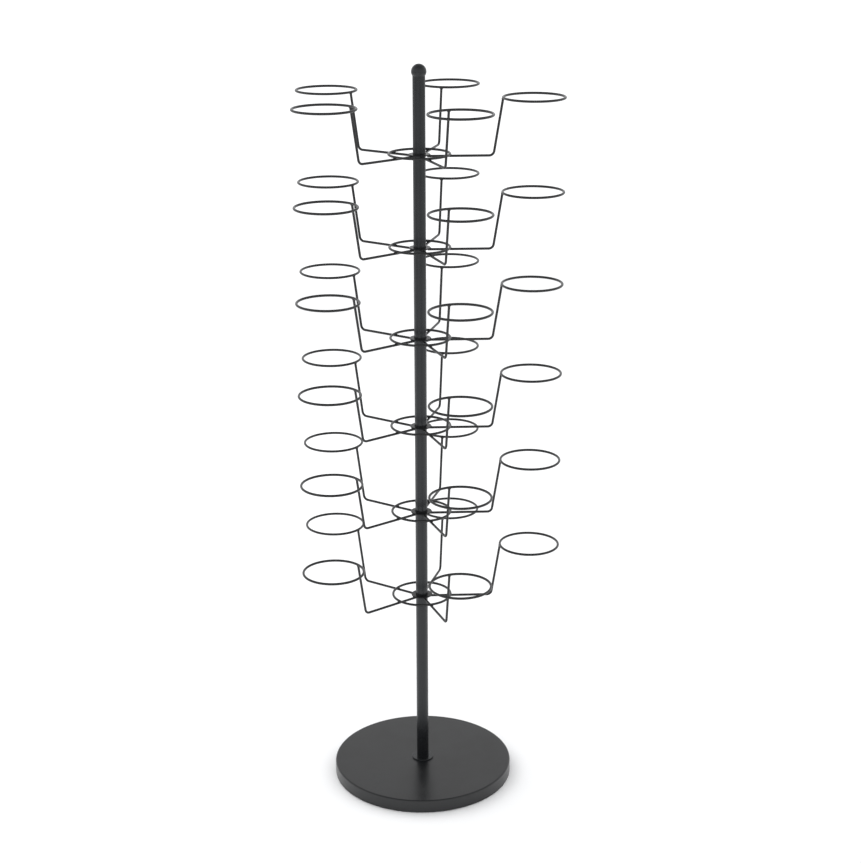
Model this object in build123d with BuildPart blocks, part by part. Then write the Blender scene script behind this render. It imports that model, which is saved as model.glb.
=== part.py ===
from build123d import *
import os

# Rotating display rack: a weighted round base, a straight pole with a ball on top, and six
# tiers of wire hat rings. Each tier turns on its own nylon bush round the fixed pole.
# Millimetres, +Z up. The origin is on the floor, on the pole's axis, and one arm of each
# tier points to -Y.

# Tiers
tier_count = 6
arm_count = 5
first_arm_angle = -90.0
first_tier_height = 486.0
tier_spacing = 223.0

# Wire work of one tier
wire_diameter = 6.0
arm_corner_radius = 174.0  # where the arm's level run and its upright would meet
arm_top_radius = 196.0  # where the upright meets the hat ring
ring_height = 135.0  # hat ring above the arm's level run
ring_radius = 72.5  # of the hat ring's centreline
brace_radius = 72.0  # of the brace ring's centreline
arm_bend_radius = 12.0
weld_set_down = 0.5  # how far a wire sinks into the one that it is welded across
butt_weld_depth = 0.8  # how far the upright's end sinks into the hat ring

# Hub disc of one tier, which lies on the arms' inner ends, and the bush that it turns on
hub_diameter = 52.0
hub_thickness = 3.0
hub_edge_fillet = 0.8
bush_spigot_diameter = 32.0
bush_running_gap = 0.05  # radial, between the hub disc and the spigot
bush_bore = 26.1
bush_flange_diameter = 36.0
bush_flange_height = 2.0
hub_gap_below = 0.1
hub_gap_above = 0.3
arm_to_bush_gap = 0.6  # radial, between an arm's inner end and the bush's flange

# Pole
sleeve_diameter = 30.0
sleeve_wall = 1.5
core_diameter = 26.0
core_wall = 2.0
core_joint_height = 918.0
joiner_length = 120.0
joiner_bore = 12.0
plug_length = 40.0
total_height = 1816.0
finial_diameter = 36.0
core_top_gap = 6.0  # the core stops this far under the finial, so that the finial clamps the sleeves
stud_diameter = 8.0
stud_length = 44.0
stud_height_in_finial = 16.0
foot_flange_diameter = 54.0
foot_flange_height = 3.0
foot_flange_bore = 26.2
foot_flange_fillet = 1.0

# Base
base_diameter = 450.0
base_height = 32.0
base_edge_fillet = 4.0
base_wall = 2.0
base_fit_gap = 0.3
pad_diameter = 440.0
pad_height = 2.0
plate_thickness = 2.0
ballast_chamfer = 4.0
plate_access_diameter = 44.0
recess_diameter = 40.0
recess_depth = 16.0
bolt_diameter = 12.0
bolt_clearance_diameter = 13.0
bolt_head_width = 18.0
bolt_head_height = 7.5
bolt_length_in_plug = 28.0
washer_diameter = 37.0
washer_height = 3.0
screw_count = 6
screw_circle_diameter = 380.0
screw_diameter = 4.0
screw_head_diameter = 8.0
screw_length = 20.0

# Worked out from the sizes above
tier_heights = [first_tier_height + tier_spacing * n for n in range(tier_count)]
wire_radius = wire_diameter / 2
ring_centre_radius = arm_top_radius + ring_radius
base_top = pad_height + base_height
ballast_bottom = pad_height + plate_thickness
ballast_top = base_top - base_wall
inner_diameter = base_diameter - 2 * (base_wall + base_fit_gap)
core_bore = core_diameter - 2 * core_wall
recess_top = ballast_bottom + recess_depth
washer_bottom = recess_top - washer_height
hub_bottom = wire_radius - weld_set_down  # this and the next three are heights above the arms' centreline
hub_top = hub_bottom + hub_thickness
bush_top = hub_top + hub_gap_above
bush_bottom = hub_bottom - hub_gap_below - bush_flange_height
finial_cut = ((finial_diameter / 2) ** 2 - (sleeve_diameter / 2) ** 2) ** 0.5
finial_middle = total_height - finial_diameter / 2
finial_bottom = finial_middle - finial_cut
core_top = finial_bottom - core_top_gap


def save(piece, name):
    piece.part.label = name
    export_step(piece.part, f"parts/{name}.step")


def make_tube(outer_diameter, bore, bottom, top):
    with BuildPart() as tube:
        with BuildSketch(Plane.XY.offset(bottom)):
            Circle(outer_diameter / 2)
            Circle(bore / 2, mode=Mode.SUBTRACT)
        extrude(amount=top - bottom)
    return tube


def make_base_cover():
    with BuildPart() as cover:
        with BuildSketch(Plane.XY.offset(pad_height)):
            Circle(base_diameter / 2)
        extrude(amount=base_height)
        fillet(cover.edges().sort_by(Axis.Z)[-1], base_edge_fillet)
        offset(amount=-base_wall, openings=cover.faces().sort_by(Axis.Z)[0])
        with BuildSketch(Plane.XY.offset(ballast_top)):
            Circle(bolt_clearance_diameter / 2)
        extrude(amount=base_wall, mode=Mode.SUBTRACT)
    return cover


def make_base_ballast():
    with BuildPart() as ballast:
        with BuildSketch(Plane.XY.offset(ballast_bottom)):
            Circle(inner_diameter / 2)
        extrude(amount=ballast_top - ballast_bottom)
        chamfer(ballast.edges().sort_by(Axis.Z)[-1], ballast_chamfer)
        with BuildSketch(Plane.XY.offset(ballast_bottom)):
            Circle(recess_diameter / 2)
        extrude(amount=recess_depth, mode=Mode.SUBTRACT)
        with BuildSketch(Plane.XY.offset(ballast_bottom)):
            Circle(bolt_clearance_diameter / 2)
        extrude(amount=ballast_top - ballast_bottom, mode=Mode.SUBTRACT)
        with BuildSketch(Plane.XY.offset(ballast_bottom)):
            with PolarLocations(screw_circle_diameter / 2, screw_count):
                Circle(screw_diameter / 2)
        extrude(amount=screw_length - plate_thickness, mode=Mode.SUBTRACT)
    return ballast


def make_base_bottom_plate():
    with BuildPart() as plate:
        with BuildSketch(Plane.XY.offset(pad_height)):
            Circle(inner_diameter / 2)
            Circle(plate_access_diameter / 2, mode=Mode.SUBTRACT)
        extrude(amount=plate_thickness)
        with Locations(Plane(origin=(0, 0, pad_height), z_dir=(0, 0, -1))):
            with PolarLocations(screw_circle_diameter / 2, screw_count):
                CounterSinkHole(screw_diameter / 2, screw_head_diameter / 2)
    return plate


def make_base_plate_screws():
    with BuildPart() as screws:
        with PolarLocations(screw_circle_diameter / 2, screw_count):
            with Locations((0, 0, pad_height)):
                Cone(
                    bottom_radius=screw_head_diameter / 2,
                    top_radius=screw_diameter / 2,
                    height=plate_thickness,
                    align=(Align.CENTER, Align.CENTER, Align.MIN),
                )
                Cylinder(
                    screw_diameter / 2,
                    screw_length,
                    align=(Align.CENTER, Align.CENTER, Align.MIN),
                )
    return screws


def make_base_pad():
    with BuildPart() as pad:
        with BuildSketch():
            Circle(pad_diameter / 2)
        extrude(amount=pad_height)
    return pad


def make_foot_bolt():
    with BuildPart() as bolt:
        with BuildSketch(Plane.XY.offset(washer_bottom - bolt_head_height)):
            RegularPolygon(bolt_head_width / 2, 6, major_radius=False)
        extrude(amount=bolt_head_height)
        with BuildSketch(Plane.XY.offset(washer_bottom)):
            Circle(bolt_diameter / 2)
        extrude(amount=base_top + bolt_length_in_plug - washer_bottom)
    return bolt


def make_foot_flange():
    with BuildPart() as flange:
        with BuildSketch(Plane.XY.offset(base_top)):
            Circle(foot_flange_diameter / 2)
            Circle(foot_flange_bore / 2, mode=Mode.SUBTRACT)
        extrude(amount=foot_flange_height)
        top_rims = flange.faces().sort_by(Axis.Z)[-1].edges().sort_by(SortBy.RADIUS)
        fillet(top_rims[-1], foot_flange_fillet)
    return flange


def make_plug(bottom, thread_diameter):
    return make_tube(core_bore, thread_diameter, bottom, bottom + plug_length)


def make_ball_finial():
    with BuildPart() as finial:
        with Locations((0, 0, finial_middle)):
            Sphere(finial_diameter / 2)
        split(bisect_by=Plane.XY.offset(finial_bottom), keep=Keep.TOP)
        with BuildSketch(Plane.XY.offset(finial_bottom)):
            Circle(stud_diameter / 2)
        extrude(amount=stud_height_in_finial, mode=Mode.SUBTRACT)
    return finial


def make_finial_stud():
    stud_top = finial_bottom + stud_height_in_finial
    with BuildPart() as stud:
        with BuildSketch(Plane.XY.offset(stud_top - stud_length)):
            Circle(stud_diameter / 2)
        extrude(amount=stud_length)
    return stud


def make_bush(height):
    with BuildPart() as bush:
        with BuildSketch(Plane.XY.offset(height + bush_bottom)):
            Circle(bush_flange_diameter / 2)
        extrude(amount=bush_flange_height)
        with BuildSketch(Plane.XY.offset(height + bush_bottom)):
            Circle(bush_spigot_diameter / 2)
        extrude(amount=bush_top - bush_bottom)
        with BuildSketch(Plane.XY.offset(height + bush_bottom)):
            Circle(bush_bore / 2)
        extrude(amount=bush_top - bush_bottom, mode=Mode.SUBTRACT)
    return bush


def make_hub(height):
    with BuildPart() as hub:
        with BuildSketch(Plane.XY.offset(height + hub_bottom)):
            Circle(hub_diameter / 2)
            Circle(bush_spigot_diameter / 2 + bush_running_gap, mode=Mode.SUBTRACT)
        extrude(amount=hub_thickness)
        outer_rims = hub.edges().filter_by(GeomType.CIRCLE).group_by(SortBy.RADIUS)[-1]
        fillet(outer_rims, hub_edge_fillet)
    return hub


def make_arms(height):
    inner_end = bush_flange_diameter / 2 + arm_to_bush_gap
    lean = (Vector(arm_top_radius, ring_height) - Vector(arm_corner_radius, 0)).normalized()
    upright_end = Vector(arm_top_radius, height + ring_height) - lean * (wire_radius - butt_weld_depth)
    with BuildPart() as arm:
        with BuildLine(Plane.XZ) as path:
            FilletPolyline(
                (inner_end, height),
                (arm_corner_radius, height),
                (upright_end.X, upright_end.Y),
                radius=arm_bend_radius,
            )
        with BuildSketch(Plane(origin=(inner_end, 0, height), z_dir=(1, 0, 0))):
            Circle(wire_radius)
        sweep(path=path.line)
    with BuildPart() as arms:
        with PolarLocations(0, arm_count, start_angle=first_arm_angle):
            add(arm.part)
    return arms


def make_brace_ring(height):
    with BuildPart() as ring:
        with Locations((0, 0, height + wire_diameter - weld_set_down)):
            Torus(brace_radius, wire_radius)
    return ring


def make_hat_rings(height):
    with BuildPart() as rings:
        with Locations((0, 0, height + ring_height)):
            with PolarLocations(ring_centre_radius, arm_count, start_angle=first_arm_angle):
                Torus(ring_radius, wire_radius)
    return rings


os.makedirs("parts", exist_ok=True)

# Base
save(make_base_cover(), "base_cover")
save(make_base_ballast(), "base_ballast")
save(make_base_bottom_plate(), "base_bottom_plate")
save(make_base_plate_screws(), "base_plate_screws")
save(make_base_pad(), "base_pad")
save(make_foot_bolt(), "foot_bolt")
save(make_tube(washer_diameter, bolt_clearance_diameter, washer_bottom, recess_top), "foot_washer")
save(make_foot_flange(), "foot_flange")

# Core of the pole
save(make_plug(base_top, bolt_diameter), "core_foot_plug")
save(make_tube(core_diameter, core_bore, base_top, core_joint_height), "core_tube_lower")
save(make_tube(core_diameter, core_bore, core_joint_height, core_top), "core_tube_upper")
joiner_bottom = core_joint_height - joiner_length / 2
save(make_tube(core_bore, joiner_bore, joiner_bottom, joiner_bottom + joiner_length), "core_joiner")
save(make_plug(core_top - plug_length, stud_diameter), "core_top_plug")
save(make_finial_stud(), "finial_stud")
save(make_ball_finial(), "ball_finial")

# Outer sleeves of the pole: one from the foot to the first tier, one between each two tiers, one above
sleeve_bottoms = [base_top + foot_flange_height] + [height + bush_top for height in tier_heights]
sleeve_tops = [height + bush_bottom for height in tier_heights] + [finial_bottom]
sleeve_bore = sleeve_diameter - 2 * sleeve_wall
for number, (bottom, top) in enumerate(zip(sleeve_bottoms, sleeve_tops), start=1):
    save(make_tube(sleeve_diameter, sleeve_bore, bottom, top), f"pole_sleeve_{number}")

# Tiers, the lowest first
for number, height in enumerate(tier_heights, start=1):
    save(make_bush(height), f"tier_{number}_bush")
    save(make_hub(height), f"tier_{number}_hub")
    save(make_arms(height), f"tier_{number}_arms")
    save(make_brace_ring(height), f"tier_{number}_brace_ring")
    save(make_hat_rings(height), f"tier_{number}_hat_rings")
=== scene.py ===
from math import acos, atan2, cos, pi, radians, sin, tan, tau

import bmesh
import bpy
from mathutils import Matrix, Vector, noise


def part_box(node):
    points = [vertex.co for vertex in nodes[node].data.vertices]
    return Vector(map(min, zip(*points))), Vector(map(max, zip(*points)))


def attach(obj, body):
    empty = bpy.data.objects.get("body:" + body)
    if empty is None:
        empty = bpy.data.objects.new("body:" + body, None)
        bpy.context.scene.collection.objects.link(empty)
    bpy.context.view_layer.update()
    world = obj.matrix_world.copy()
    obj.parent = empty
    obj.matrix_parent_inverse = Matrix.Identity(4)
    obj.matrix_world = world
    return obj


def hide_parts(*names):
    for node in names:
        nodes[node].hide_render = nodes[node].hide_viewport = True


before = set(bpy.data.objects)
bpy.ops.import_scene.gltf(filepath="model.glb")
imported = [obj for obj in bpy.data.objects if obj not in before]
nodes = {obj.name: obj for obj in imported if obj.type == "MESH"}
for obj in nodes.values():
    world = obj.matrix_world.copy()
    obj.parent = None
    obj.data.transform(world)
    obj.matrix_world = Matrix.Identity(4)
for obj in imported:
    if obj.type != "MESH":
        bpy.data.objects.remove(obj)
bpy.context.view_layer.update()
origin = Vector((0, 0, 0))
upward = Vector((0, 0, 1))
armCount = 5
tierCount = 6
tierNumbers = range(1, tierCount + 1)
sleeveNumbers = range(1, tierCount + 2)
print("frame loaded:", len(nodes), "nodes")


# Node helpers, where owner is a material or the world.
# Patterns read Object coordinates, so their scales are in cycles per metre.
mixFactor, mixNumbers, mixedNumber = 0, (2, 3), 0  # a Mix node's sockets for numbers
mixColors, mixedColor = (6, 7), 2  # and for colours


def newMaterial(name, look):
    material = bpy.data.materials.new(name)
    material.use_nodes = True
    shader = material.node_tree.nodes["Principled BSDF"]
    shader.inputs["Metallic"].default_value = look.get("metallic", 0)
    shader.inputs["Specular IOR Level"].default_value = look.get("specular", 0.5)
    shader.inputs["Specular Tint"].default_value = (*look.get("sheenTint", (1, 1, 1)), 1)
    return material, shader


def addNode(owner, kind, **settings):
    node = owner.node_tree.nodes.new(kind)
    for key, value in settings.items():
        setattr(node, key, value)
    return node


def link(owner, output, target):
    owner.node_tree.links.new(output, target)


def objectPlace(owner, stretch=(1, 1, 1)):
    place = addNode(owner, "ShaderNodeTexCoord")
    mapping = addNode(owner, "ShaderNodeMapping")
    mapping.inputs["Scale"].default_value = stretch
    link(owner, place.outputs["Object"], mapping.inputs["Vector"])
    return mapping.outputs["Vector"]


def cloud(owner, place, scale, detail=2.0, roughness=0.5):
    texture = addNode(owner, "ShaderNodeTexNoise")
    texture.inputs["Scale"].default_value = scale
    texture.inputs["Detail"].default_value = detail
    texture.inputs["Roughness"].default_value = roughness
    link(owner, place, texture.inputs["Vector"])
    return texture.outputs["Fac"]


def cells(owner, place, scale):
    texture = addNode(owner, "ShaderNodeTexVoronoi")
    texture.inputs["Scale"].default_value = scale
    link(owner, place, texture.inputs["Vector"])
    return texture.outputs["Distance"]


def spread(owner, source, fromLow, fromHigh, toLow=0.0, toHigh=1.0):
    remap = addNode(owner, "ShaderNodeMapRange")
    limits = {"From Min": fromLow, "From Max": fromHigh, "To Min": toLow, "To Max": toHigh}
    for key, value in limits.items():
        remap.inputs[key].default_value = value
    link(owner, source, remap.inputs["Value"])
    return remap.outputs["Result"]


def combine(owner, operation, first, second):
    maths = addNode(owner, "ShaderNodeMath", operation=operation)
    link(owner, first, maths.inputs[0])
    link(owner, second, maths.inputs[1])
    return maths.outputs["Value"]


def between(owner, factor, low, high):
    blend = addNode(owner, "ShaderNodeMix", data_type="RGBA")
    link(owner, factor, blend.inputs[mixFactor])
    for source, socket in zip((low, high), mixColors):
        if isinstance(source, tuple):
            blend.inputs[socket].default_value = (*source, 1)
        else:
            link(owner, source, blend.inputs[socket])
    return blend.outputs[mixedColor]


def relief(owner, height, depth, under=None):
    bump = addNode(owner, "ShaderNodeBump")
    bump.inputs["Distance"].default_value = depth
    bump.inputs["Strength"].default_value = 1
    link(owner, height, bump.inputs["Height"])
    if under is not None:
        link(owner, under, bump.inputs["Normal"])
    return bump.outputs["Normal"]


def facingUp(owner, low, high):
    surface = addNode(owner, "ShaderNodeNewGeometry")
    axes = addNode(owner, "ShaderNodeSeparateXYZ")
    link(owner, surface.outputs["Normal"], axes.inputs["Vector"])
    return spread(owner, axes.outputs["Z"], low, high)


# Materials
cloudRange = (0.3, 0.7)  # most of a cloud's values lie between these


def powderCoat(name, look):
    material, shader = newMaterial(name, look)
    place = objectPlace(material)
    patches = spread(material, cloud(material, place, look["patchScale"], detail=3), *look["patchRange"])
    grain = cloud(material, place, look["grainScale"], roughness=0.6)
    peel = cloud(material, place, look["peelScale"], detail=1)
    color = between(material, patches, look["color"], look["thinColor"])
    flecks = spread(material, grain, *look["fleckRange"], 0, look["fleckShare"])
    color = between(material, flecks, color, look["fleckColor"])
    rubMap = cloud(material, place, look["rubScale"], detail=4, roughness=0.6)
    rubMap = spread(material, rubMap, *look["rubRange"])
    rub = combine(material, "MULTIPLY", facingUp(material, look["rubFrom"], 1), rubMap)
    color = between(material, rub, color, look["rubColor"])
    low, high = look["roughness"]
    gloss = spread(material, patches, 0, 1, low, high)
    gloss = combine(material, "ADD", gloss, spread(material, rub, 0, 1, 0, look["rubRoughness"]))
    grainGloss = look["grainRoughness"]
    gloss = combine(material, "ADD", gloss, spread(material, grain, *cloudRange, -grainGloss, grainGloss))
    link(material, color, shader.inputs["Base Color"])
    link(material, gloss, shader.inputs["Roughness"])
    surface = relief(material, peel, look["peelDepth"])
    link(material, relief(material, grain, look["grainDepth"], surface), shader.inputs["Normal"])
    return material


wirePaintLook = {
    "color": (0.0035, 0.0041, 0.0050), "thinColor": (0.0050, 0.0056, 0.0066),
    "patchScale": 30, "patchRange": (0.32, 0.68),
    "fleckColor": (0.012, 0.012, 0.013), "fleckShare": 0.25, "fleckRange": (0.6, 0.75),
    "grainScale": 3200, "grainDepth": 0.000003, "grainRoughness": 0.03,
    "peelScale": 800, "peelDepth": 0.000007, "specular": 0.55, "roughness": (0.26, 0.31),
    "rubColor": (0.008, 0.008, 0.0085), "rubRoughness": -0.05,
    "rubFrom": 0.75, "rubScale": 45, "rubRange": (0.42, 0.62),
}
hubPaintLook = dict(wirePaintLook, patchScale=55, specular=0.3)
polePaintLook = dict(
    wirePaintLook, patchScale=14, peelDepth=0.00001, specular=0.6, sheenTint=(0.94, 0.97, 1), rubFrom=0.9,
)
basePaintLook = dict(
    polePaintLook, patchScale=9, peelDepth=0.000014, sheenTint=(1, 1, 1), roughness=(0.29, 0.34), rubScale=18,
    rubColor=(0.007, 0.007, 0.0075), rubRoughness=0.04,
)


def mouldedNylon(name, look):
    material, shader = newMaterial(name, look)
    place = objectPlace(material)
    turned = cloud(material, objectPlace(material, (1, 1, look["turnedStretch"])), look["turnedScale"])
    flow = spread(material, cloud(material, place, look["flowScale"], detail=3), *cloudRange)
    color = between(material, flow, look["color"], look["paleColor"])
    low, high = look["roughness"]
    link(material, color, shader.inputs["Base Color"])
    link(material, spread(material, flow, 0, 1, low, high), shader.inputs["Roughness"])
    link(material, relief(material, turned, look["turnedDepth"]), shader.inputs["Normal"])
    return material


nylonLook = {
    "color": (0.012, 0.012, 0.012), "paleColor": (0.022, 0.022, 0.021), "flowScale": 90,
    "turnedScale": 150, "turnedStretch": 20, "turnedDepth": 0.00003, "specular": 0.45,
    "roughness": (0.42, 0.55),
}


def platedSteel(name, look):
    material, shader = newMaterial(name, look)
    place = objectPlace(material, look["stretch"])
    spangle = spread(material, cells(material, place, look["spangleScale"]), *look["spangleRange"])
    streak = cloud(material, place, look["streakScale"], detail=4, roughness=0.6)
    color = between(material, spangle, look["color"], look["darkColor"])
    yellow = spread(material, streak, *look["yellowRange"], 0, look["yellowShare"])
    color = between(material, yellow, color, look["yellowColor"])
    low, high = look["roughness"]
    link(material, color, shader.inputs["Base Color"])
    link(material, spread(material, streak, *cloudRange, low, high), shader.inputs["Roughness"])
    link(material, relief(material, streak, look["streakDepth"]), shader.inputs["Normal"])
    return material


zincLook = {
    "color": (0.60, 0.61, 0.62), "darkColor": (0.42, 0.43, 0.45),
    "spangleScale": 220, "spangleRange": (0.1, 0.8),
    "yellowColor": (0.55, 0.53, 0.44), "yellowShare": 0.6, "yellowRange": (0.4, 0.75),
    "stretch": (1, 1, 1), "streakScale": 500, "streakDepth": 0.00002,
    "metallic": 1, "roughness": (0.28, 0.45),
}
drawnTubeLook = dict(zincLook, stretch=(1, 1, 0.04), color=(0.5, 0.5, 0.51), roughness=(0.3, 0.5))


def castIron(name, look):
    material, shader = newMaterial(name, look)
    place = objectPlace(material)
    sand = cloud(material, place, look["sandScale"], detail=5, roughness=0.65)
    pits = spread(material, cells(material, place, look["pitScale"]), *look["pitRange"])
    rust = cloud(material, place, look["rustScale"], detail=4, roughness=0.6)
    rust = spread(material, rust, *look["rustRange"])
    color = between(material, spread(material, sand, *cloudRange), look["color"], look["paleColor"])
    color = between(material, rust, color, look["rustColor"])
    low, high = look["roughness"]
    link(material, color, shader.inputs["Base Color"])
    link(material, spread(material, sand, *cloudRange, low, high), shader.inputs["Roughness"])
    surface = relief(material, pits, look["pitDepth"])
    link(material, relief(material, sand, look["sandDepth"], surface), shader.inputs["Normal"])
    return material


ironLook = {
    "color": (0.055, 0.055, 0.058), "paleColor": (0.1, 0.1, 0.1), "sandScale": 700, "sandDepth": 0.0003,
    "pitScale": 160, "pitRange": (0.05, 0.35), "pitDepth": 0.0004,
    "rustColor": (0.11, 0.05, 0.025), "rustScale": 14, "rustRange": (0.52, 0.7),
    "specular": 0.4, "roughness": (0.7, 0.9),
}


def rubberSheet(name, look):
    material, shader = newMaterial(name, look)
    place = objectPlace(material)
    crumbs = cells(material, place, look["crumbScale"])
    bloom = spread(material, cloud(material, place, look["bloomScale"], detail=4), *look["bloomRange"])
    color = between(material, bloom, look["color"], look["bloomColor"])
    low, high = look["roughness"]
    link(material, color, shader.inputs["Base Color"])
    link(material, spread(material, bloom, 0, 1, low, high), shader.inputs["Roughness"])
    link(material, relief(material, crumbs, look["crumbDepth"]), shader.inputs["Normal"])
    return material


rubberLook = {
    "color": (0.012, 0.012, 0.012), "bloomColor": (0.028, 0.028, 0.027), "bloomScale": 25,
    "bloomRange": (0.4, 0.7), "crumbScale": 900, "crumbDepth": 0.0001,
    "specular": 0.35, "roughness": (0.7, 0.85),
}

wirePaint = powderCoat("wirePaint", wirePaintLook)
hubPaint = powderCoat("hubPaint", hubPaintLook)
polePaint = powderCoat("polePaint", polePaintLook)
basePaint = powderCoat("basePaint", basePaintLook)
bushNylon = mouldedNylon("bushNylon", nylonLook)
zincSteel = platedSteel("zincSteel", zincLook)
drawnTube = platedSteel("drawnTube", drawnTubeLook)
ballastIron = castIron("ballastIron", ironLook)
padRubber = rubberSheet("padRubber", rubberLook)
print("materials made")


# Shapes

def lowestHeight(node):
    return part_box(node)[0].z


def highestHeight(node):
    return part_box(node)[1].z


def middleHeight(node):
    return (lowestHeight(node) + highestHeight(node)) / 2


def outerRadius(node):
    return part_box(node)[1].x


def everything(shape):
    return shape.verts[:] + shape.edges[:] + shape.faces[:]


def turnFully(shape, center, steps):
    bmesh.ops.spin(
        shape, geom=everything(shape), cent=center, axis=upward, angle=tau, steps=steps, use_merge=True,
    )


def turnedShape(outline, look):
    # the outline goes round the section once: (radius, height, how much that corner is rounded)
    shape = bmesh.new()
    corners = [shape.verts.new((radius, 0, height)) for radius, height, rounding in outline]
    shape.faces.new(corners)
    for corner, (radius, height, rounding) in zip(corners, outline):
        bmesh.ops.bevel(
            shape, geom=[corner], offset=rounding, offset_type="OFFSET", affect="VERTICES",
            segments=look["roundSteps"], profile=0.5, material=-1,
        )
    bmesh.ops.delete(shape, geom=shape.faces[:], context="FACES_ONLY")
    turnFully(shape, origin, look["steps"])
    return shape


def tubeOutline(radius, bore, bottom, top, rounding):
    corners = ((radius, bottom), (radius, top), (bore, top), (bore, bottom))
    return [(*corner, rounding) for corner in corners]


def ringShape(radius, center, look):
    shape = bmesh.new()
    section = Matrix.Translation(center + Vector((radius, 0, 0))) @ Matrix.Rotation(pi / 2, 4, "X")
    bmesh.ops.create_circle(shape, segments=look["sides"], radius=look["radius"], matrix=section)
    turnFully(shape, center, look["ringSteps"])
    return shape


def fiveTimes(shape):
    # from +X, the first one turns to -Y, and the others follow round the pole
    bmesh.ops.rotate(shape, verts=shape.verts[:], cent=origin, matrix=Matrix.Rotation(-pi / 2, 3, "Z"))
    bmesh.ops.spin(
        shape, geom=everything(shape), cent=origin, axis=upward, steps=armCount - 1,
        angle=tau * (armCount - 1) / armCount, use_duplicate=True,
    )
    return shape


mergeDistance = 0.000002
sharpAngle = radians(50)


def finishPiece(shape, name, material, body, stoodFor=(), flat=False):
    # stoodFor names the CAD nodes that the piece replaces, and flat keeps its flat faces flat
    bmesh.ops.remove_doubles(shape, verts=shape.verts[:], dist=mergeDistance)
    bmesh.ops.recalc_face_normals(shape, faces=shape.faces[:])
    mesh = bpy.data.meshes.new(name)
    shape.to_mesh(mesh)
    shape.free()
    mesh.shade_smooth()
    piece = bpy.data.objects.new(name, mesh)
    bpy.context.scene.collection.objects.link(piece)
    mesh.materials.append(material)
    if flat:
        mesh.set_sharp_from_angle(angle=sharpAngle)
        weighted = piece.modifiers.new("evenNormals", "WEIGHTED_NORMAL")
        weighted.keep_sharp = True
    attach(piece, body)
    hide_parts(*stoodFor)


def turnedPiece(node, name, outline, look, material, body):
    finishPiece(turnedShape(outline, look), name, material, body, [node], flat=True)


# Base
baseShell = {
    "steps": 256, "roundSteps": 6, "wall": 0.002, "topRounding": 0.004, "rimRounding": 0.0004,
    "boreRadius": 0.0065,
}


def makeBaseCover(look):
    node = "base_cover"
    radius, bottom, top = outerRadius(node), lowestHeight(node), highestHeight(node)
    innerRadius, innerTop = radius - look["wall"], top - look["wall"]
    rimRounding, topRounding = look["rimRounding"], look["topRounding"]
    outline = [
        (radius, bottom, rimRounding), (radius, top, topRounding),
        (look["boreRadius"], top, rimRounding), (look["boreRadius"], innerTop, rimRounding),
        (innerRadius, innerTop, topRounding - look["wall"]), (innerRadius, bottom, rimRounding),
    ]
    turnedPiece(node, "base_shell", outline, look, basePaint, "stand")


rubberDisc = {"steps": 180, "roundSteps": 3, "rounding": 0.0005, "boreRadius": 0.005}


def makeBasePad(look):
    node = "base_pad"
    outline = tubeOutline(
        outerRadius(node), look["boreRadius"], lowestHeight(node), highestHeight(node), look["rounding"],
    )
    turnedPiece(node, "base_rubber_disc", outline, look, padRubber, "stand")


footRing = {"steps": 96, "roundSteps": 4, "boreRadius": 0.0131, "topRounding": 0.001, "boreRounding": 0.0002}


def makeFootFlange(look):
    node = "foot_flange"
    radius, bottom, top = outerRadius(node), lowestHeight(node), highestHeight(node)
    outline = [
        (radius, bottom, look["boreRounding"]), (radius, top, look["topRounding"]),
        (look["boreRadius"], top, look["boreRounding"]), (look["boreRadius"], bottom, look["boreRounding"]),
    ]
    turnedPiece(node, "foot_ring", outline, look, polePaint, "stand")


makeBaseCover(baseShell)
makeBasePad(rubberDisc)
makeFootFlange(footRing)
print("base made")

# Pole
poleTube = {"steps": 96, "roundSteps": 3, "wall": 0.0015, "endRounding": 0.0003}


def makeSleeve(number, look):
    node = f"pole_sleeve_{number}"
    radius = outerRadius(node)
    outline = tubeOutline(
        radius, radius - look["wall"], lowestHeight(node), highestHeight(node), look["endRounding"],
    )
    turnedPiece(node, f"pole_tube_{number}", outline, look, polePaint, "stand")


ballEnd = {"steps": 96, "arcSteps": 40, "radius": 0.018, "holeRadius": 0.004, "holeDepth": 0.016}


def makeBall(look):
    node = "ball_finial"
    bottom, top = lowestHeight(node), highestHeight(node)
    middle = top - look["radius"]
    shape = bmesh.new()
    crown = shape.verts.new((0, 0, top))
    bmesh.ops.spin(
        shape, geom=[crown], cent=(0, 0, middle), axis=(0, 1, 0), steps=look["arcSteps"],
        angle=pi - acos((middle - bottom) / look["radius"]),
    )
    last = min(shape.verts, key=lambda vertex: vertex.co.z)
    holeTop = bottom + look["holeDepth"]
    for radius, height in ((look["holeRadius"], bottom), (look["holeRadius"], holeTop), (0, holeTop)):
        following = shape.verts.new((radius, 0, height))
        shape.edges.new((last, following))
        last = following
    turnFully(shape, origin, look["steps"])
    finishPiece(shape, "ball_end", polePaint, "stand", [node], flat=True)


for number in sleeveNumbers:
    makeSleeve(number, poleTube)
makeBall(ballEnd)
print("pole made")

# Tiers
wire = {"radius": 0.003, "sides": 20, "ringSteps": 120, "endRounding": 0.0004, "endSteps": 2}
tierSizes = {
    "ringRadius": 0.0725, "braceRadius": 0.072, "cornerRadius": 0.174, "topRadius": 0.196,
    "bendRadius": 0.012, "bendSteps": 18, "braceSetDown": 0.0005, "buttDepth": 0.0008, "endGap": 0.0006,
}


def armHeight(number):
    # the brace ring lies across the arms, one wire above them, less what the weld took in
    return middleHeight(f"tier_{number}_brace_ring") - 2 * wire["radius"] + tierSizes["braceSetDown"]


def ringHeight(number):
    return middleHeight(f"tier_{number}_hat_rings")


bushTurning = {
    "steps": 72, "roundSteps": 3, "flangeHeight": 0.002, "spigotRadius": 0.016, "boreRadius": 0.01305,
    "rounding": 0.0002,
}


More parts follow.
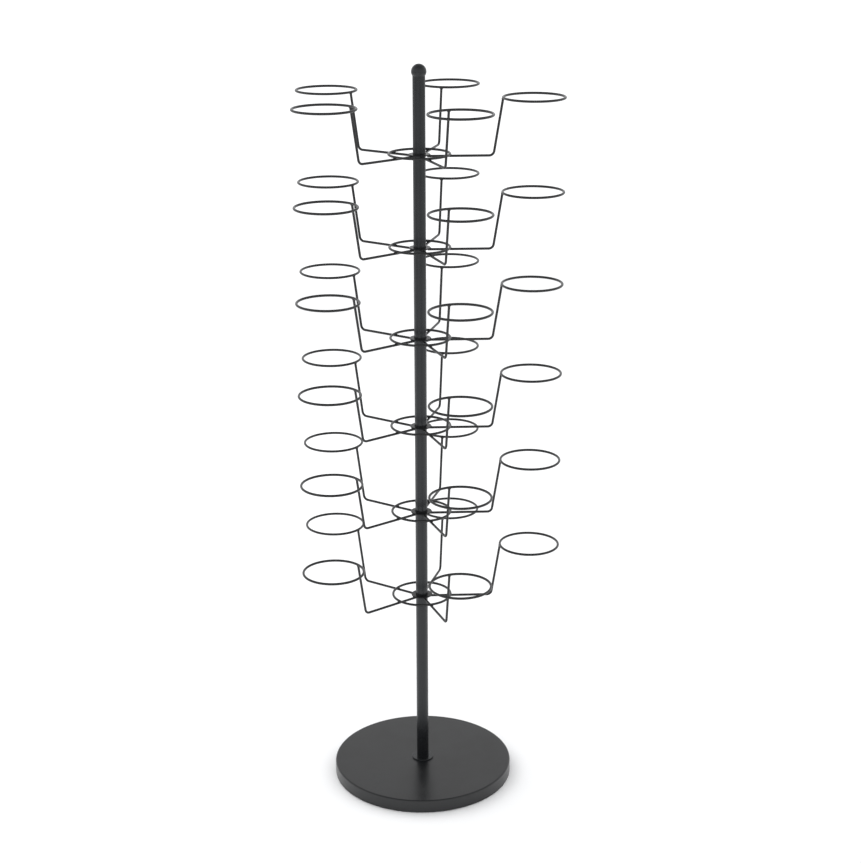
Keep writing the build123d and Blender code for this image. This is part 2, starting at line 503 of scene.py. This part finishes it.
def makeBush(number, look):
    node = f"tier_{number}_bush"
    flangeRadius, bottom, top = outerRadius(node), lowestHeight(node), highestHeight(node)
    flangeTop, rounding = bottom + look["flangeHeight"], look["rounding"]
    outline = [
        (flangeRadius, bottom, rounding), (flangeRadius, flangeTop, rounding),
        (look["spigotRadius"], flangeTop, rounding), (look["spigotRadius"], top, rounding),
        (look["boreRadius"], top, rounding), (look["boreRadius"], bottom, rounding),
    ]
    turnedPiece(node, f"tier_{number}_nylon_bush", outline, look, bushNylon, "stand")


hubDisc = {"steps": 96, "roundSteps": 4, "boreGap": 0.00005, "rimRounding": 0.0008, "boreRounding": 0.0002}


def makeHub(number, look):
    node = f"tier_{number}_hub"
    radius, bottom, top = outerRadius(node), lowestHeight(node), highestHeight(node)
    bore = bushTurning["spigotRadius"] + look["boreGap"]
    outline = [
        (radius, bottom, look["rimRounding"]), (radius, top, look["rimRounding"]),
        (bore, top, look["boreRounding"]), (bore, bottom, look["boreRounding"]),
    ]
    turnedPiece(node, f"tier_{number}_hub_disc", outline, look, hubPaint, f"tier_{number}")


def makeHatRings(number):
    node = f"tier_{number}_hat_rings"
    outward = -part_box(node)[0].y - wire["radius"] - tierSizes["ringRadius"]
    center = Vector((outward, 0, ringHeight(number)))
    shape = fiveTimes(ringShape(tierSizes["ringRadius"], center, wire))
    finishPiece(shape, f"tier_{number}_rings", wirePaint, f"tier_{number}", [node])


def makeBraceRing(number):
    node = f"tier_{number}_brace_ring"
    center = Vector((0, 0, middleHeight(node)))
    shape = ringShape(tierSizes["braceRadius"], center, wire)
    finishPiece(shape, f"tier_{number}_brace", wirePaint, f"tier_{number}", [node])


def armLean(number):
    # the upright's direction, in the plane of the arm
    sizes = tierSizes
    rise = Vector((sizes["topRadius"] - sizes["cornerRadius"], 0, ringHeight(number) - armHeight(number)))
    return rise.normalized()


def makeArms(number):
    sizes, height, lean = tierSizes, armHeight(number), armLean(number)
    innerEnd = outerRadius(f"tier_{number}_bush") + sizes["endGap"]
    turn = atan2(lean.z, lean.x)
    bendStart = sizes["cornerRadius"] - sizes["bendRadius"] * tan(turn / 2)
    ringMiddle = Vector((sizes["topRadius"], 0, ringHeight(number)))
    uprightEnd = ringMiddle - lean * (wire["radius"] - sizes["buttDepth"])
    shape = bmesh.new()
    section = Matrix.Translation((innerEnd, 0, height)) @ Matrix.Rotation(pi / 2, 4, "Y")
    bmesh.ops.create_circle(shape, segments=wire["sides"], radius=wire["radius"], matrix=section)
    ends = [bmesh.ops.edgeloop_fill(shape, edges=shape.edges[:])["faces"][0]]
    level = bmesh.ops.extrude_edge_only(shape, edges=ends[0].edges[:])["geom"]
    loop = [part for part in level if isinstance(part, bmesh.types.BMVert)]
    bmesh.ops.translate(shape, verts=loop, vec=(bendStart - innerEnd, 0, 0))
    rim = loop + [part for part in level if isinstance(part, bmesh.types.BMEdge)]
    bent = bmesh.ops.spin(
        shape, geom=rim, cent=(bendStart, 0, height + sizes["bendRadius"]), axis=(0, -1, 0), angle=turn,
        steps=sizes["bendSteps"],
    )["geom_last"]
    upright = bmesh.ops.extrude_edge_only(
        shape, edges=[part for part in bent if isinstance(part, bmesh.types.BMEdge)],
    )["geom"]
    loop = [part for part in upright if isinstance(part, bmesh.types.BMVert)]
    middle = sum((vertex.co for vertex in loop), Vector()) / len(loop)
    bmesh.ops.translate(shape, verts=loop, vec=uprightEnd - middle)
    rim = [part for part in upright if isinstance(part, bmesh.types.BMEdge)]
    ends += bmesh.ops.edgeloop_fill(shape, edges=rim)["faces"]
    bmesh.ops.bevel(
        shape, geom=[edge for end in ends for edge in end.edges], offset=wire["endRounding"],
        affect="EDGES", segments=wire["endSteps"], profile=0.5, material=-1,
    )
    finishPiece(
        fiveTimes(shape), f"tier_{number}_arm_wires", wirePaint, f"tier_{number}",
        [f"tier_{number}_arms"], flat=True,
    )


# a bead's half sizes are out from the pole, round it and up
weldBeads = {
    "top": (0.0037, 0.0047, 0.0031), "brace": (0.0042, 0.0042, 0.0017), "hub": (0.0034, 0.0045, 0.0013),
    "across": 16, "up": 10, "unevenness": 0.00016, "waves": 900, "topDrop": 0.0024, "hubInset": 0.0016,
}


def addBead(shape, place, size, look):
    bead = bmesh.ops.create_uvsphere(
        shape, u_segments=look["across"], v_segments=look["up"], radius=1,
        matrix=Matrix.Translation(place) @ Matrix.Diagonal((*size, 1)),
    )["verts"]
    for vertex in bead:
        away = (vertex.co - place).normalized()
        vertex.co += away * look["unevenness"] * noise.noise(vertex.co * look["waves"])


def makeWelds(number, look):
    height, hubRadius = armHeight(number), outerRadius(f"tier_{number}_hub")
    ringJoint = Vector((tierSizes["topRadius"], 0, ringHeight(number))) - armLean(number) * look["topDrop"]
    crossing = height + wire["radius"] - tierSizes["braceSetDown"] / 2
    shape = bmesh.new()
    addBead(shape, ringJoint, look["top"], look)
    addBead(shape, Vector((tierSizes["braceRadius"], 0, crossing)), look["brace"], look)
    addBead(shape, Vector((hubRadius - look["hubInset"], 0, crossing)), look["hub"], look)
    finishPiece(fiveTimes(shape), f"tier_{number}_welds", wirePaint, f"tier_{number}")


for number in tierNumbers:
    makeBush(number, bushTurning)
    makeHub(number, hubDisc)
    makeArms(number)
    makeBraceRing(number)
    makeHatRings(number)
    makeWelds(number, weldBeads)
    print("tier", number, "made")

# CAD nodes that stay as they are, each with its own finish
keptNodes = {
    "base_ballast": ballastIron, "base_bottom_plate": zincSteel, "base_plate_screws": zincSteel,
    "foot_bolt": zincSteel, "foot_washer": zincSteel, "core_foot_plug": zincSteel,
    "core_tube_lower": drawnTube, "core_tube_upper": drawnTube, "core_joiner": drawnTube,
    "core_top_plug": zincSteel, "finial_stud": zincSteel,
}
for node, material in keptNodes.items():
    nodes[node].material_slots[0].material = material
print("kept nodes painted")

# Studio
studio = {
    "floorHalf": 5, "floorColor": (0.945, 0.945, 0.947), "floorTint": (0.955, 0.955, 0.955),
    "floorScale": 0.7, "farColor": (0.998, 0.998, 0.998), "farFrom": (1.2, 3.2),
    "backdrop": 1.2, "fill": 1.075, "lightColor": (0.985, 0.99, 1),
    "lowGlow": (-0.35, 0.05, 0.6, 1.0), "highGlow": (0.3, 0.9, 0.95, 0.45),
}


def makeFloor(look):
    shape = bmesh.new()
    bmesh.ops.create_grid(shape, x_segments=1, y_segments=1, size=look["floorHalf"])
    mesh = bpy.data.meshes.new("floor")
    shape.to_mesh(mesh)
    shape.free()
    floor = bpy.data.objects.new("floor", mesh)
    bpy.context.scene.collection.objects.link(floor)
    material, shader = newMaterial("paleFloor", {"specular": 0})
    place = objectPlace(material)
    shade = cloud(material, place, look["floorScale"])
    color = between(material, shade, look["floorColor"], look["floorTint"])
    distance = addNode(material, "ShaderNodeVectorMath", operation="LENGTH")
    link(material, place, distance.inputs[0])
    far = spread(material, distance.outputs["Value"], *look["farFrom"])
    link(material, between(material, far, color, look["farColor"]), shader.inputs["Base Color"])
    shader.inputs["Roughness"].default_value = 1
    mesh.materials.append(material)


def makeWorld(look):
    world = bpy.data.worlds.new("studio")
    world.use_nodes = True
    bpy.context.scene.world = world
    background = world.node_tree.nodes["Background"]
    background.inputs["Color"].default_value = (*look["lightColor"], 1)
    place = addNode(world, "ShaderNodeTexCoord")
    axes = addNode(world, "ShaderNodeSeparateXYZ")
    link(world, place.outputs["Generated"], axes.inputs["Vector"])
    lowGlow = spread(world, axes.outputs["Z"], *look["lowGlow"])
    highGlow = spread(world, axes.outputs["Z"], *look["highGlow"])
    # gloss sees a bright horizon and a dim ceiling, matt surfaces an even fill, the camera a white backdrop
    light = combine(world, "MULTIPLY", lowGlow, highGlow)
    path = addNode(world, "ShaderNodeLightPath")
    for ray, strength in (("Is Diffuse Ray", look["fill"]), ("Is Camera Ray", look["backdrop"])):
        choice = addNode(world, "ShaderNodeMix", data_type="FLOAT")
        link(world, path.outputs[ray], choice.inputs[mixFactor])
        link(world, light, choice.inputs[mixNumbers[0]])
        choice.inputs[mixNumbers[1]].default_value = strength
        light = choice.outputs[mixedNumber]
    link(world, light, background.inputs["Strength"])


softLight = {"place": (-1.3, 2.7, 2.6), "target": (0, 0, 0.4), "size": 3, "power": 34}


def makeLight(look):
    # it lights the floor and the paint, and doesn't show in the gloss
    light = bpy.data.lights.new("softBox", "AREA")
    light.size = look["size"]
    light.energy = look["power"]
    lamp = bpy.data.objects.new("softBox", light)
    lamp.visible_glossy = False
    lamp.location = look["place"]
    toTarget = Vector(look["target"]) - Vector(look["place"])
    lamp.rotation_euler = toTarget.to_track_quat("-Z", "Y").to_euler()
    bpy.context.scene.collection.objects.link(lamp)


eye = {
    "azimuth": -19.825, "distance": 4.1536, "height": 2.3222, "down": 16.858, "right": 0.333, "roll": -0.247,
    "lens": 74.54, "sensor": 36, "shiftUp": -0.0648, "nearest": 0.05, "farthest": 300,
}


def makeCamera(look):
    data = bpy.data.cameras.new("camera")
    data.sensor_width = look["sensor"]
    data.lens = look["lens"]
    data.shift_y = look["shiftUp"]
    data.clip_start = look["nearest"]
    data.clip_end = look["farthest"]
    camera = bpy.data.objects.new("camera", data)
    around = radians(look["azimuth"])
    camera.location = (look["distance"] * sin(around), -look["distance"] * cos(around), look["height"])
    turn = Matrix.Rotation(around - radians(look["right"]), 4, "Z")
    tilt = Matrix.Rotation(pi / 2 - radians(look["down"]), 4, "X")
    roll = Matrix.Rotation(radians(look["roll"]), 4, "Z")
    camera.rotation_euler = (turn @ tilt @ roll).to_euler()
    bpy.context.scene.collection.objects.link(camera)
    bpy.context.scene.camera = camera


makeFloor(studio)
makeWorld(studio)
makeLight(softLight)
makeCamera(eye)
bpy.context.scene.view_settings.view_transform = "Standard"
print("studio made")
